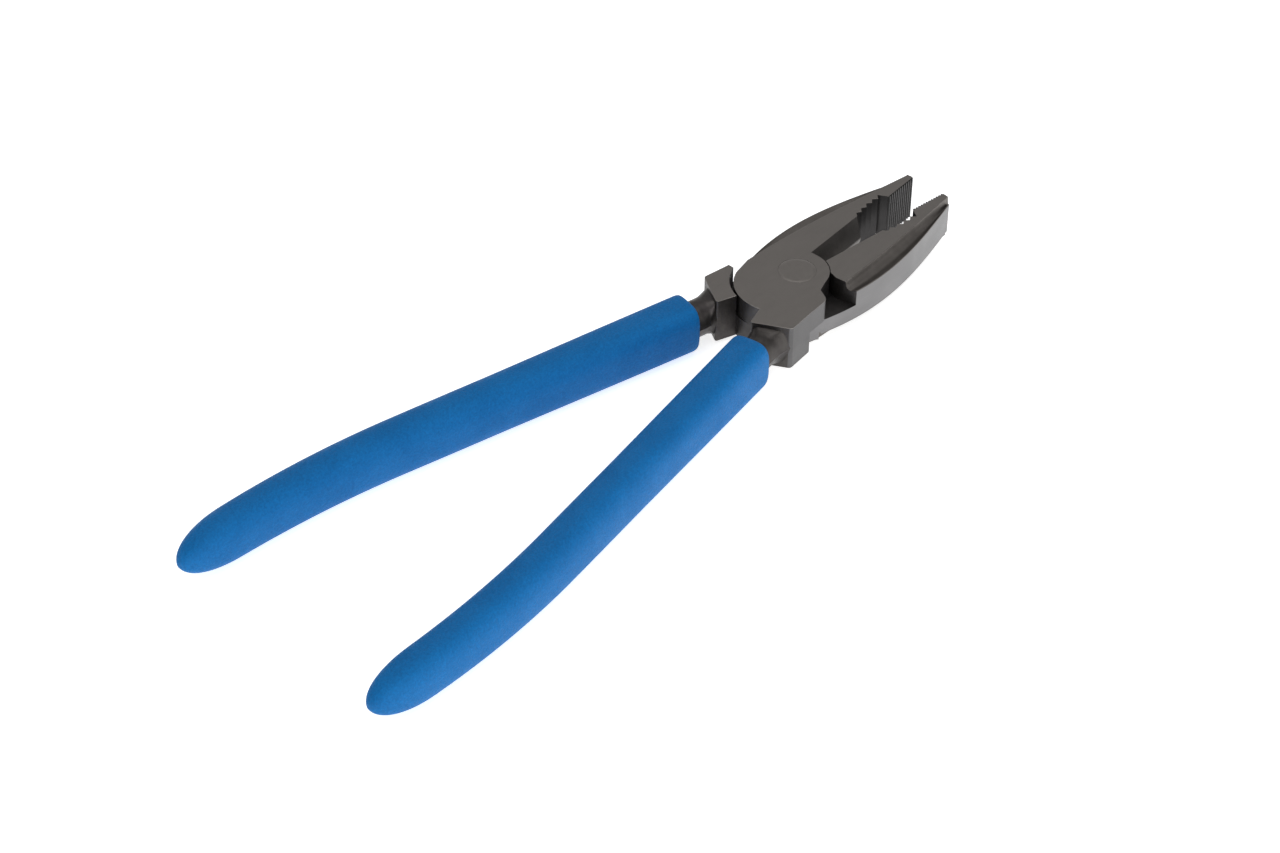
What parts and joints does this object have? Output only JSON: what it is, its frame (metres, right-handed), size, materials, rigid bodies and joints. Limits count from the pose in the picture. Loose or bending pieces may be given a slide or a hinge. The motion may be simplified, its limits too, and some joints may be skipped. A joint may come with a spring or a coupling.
{
  "type": "lineman pliers",
  "caption": "Lap-jointed lineman pliers with side cutter, pipe grip and dipped grips, for gripping, bending and cutting wire.",
  "frame": {"origin": "on the pivot axis, at the flat underside of the head (the ground faces and the rivet's flush end lie in this plane)", "axes": "+X from the pivot towards the jaw tips along the tool's centre line, +Z along the pivot axis, out of the upper ground face, +Y towards half A's jaw"},
  "size_m": [0.2225, 0.0738, 0.0144],
  "materials": {
    "forged_steel": "ground and oiled forged tool steel, satin gunmetal",
    "rivet_steel": "ground flush with the head, satin",
    "blue_dip": "blue dip-coated vinyl, satin, very fine orange peel"
  },
  "bodies": {
    "half_a": {"half_a": "forged_steel", "grip_a": "blue_dip", "rivet": "rivet_steel"},
    "half_b": {"half_b": "forged_steel", "grip_b": "blue_dip"}
  },
  "joints": [
    {"name": "pivot", "type": "hinge", "parent": "half_a", "child": "half_b", "pos_m": [0, 0, 0.0062], "axis": [0, 0, -1], "range_deg": [-10.6, 32.4]}
  ]
}
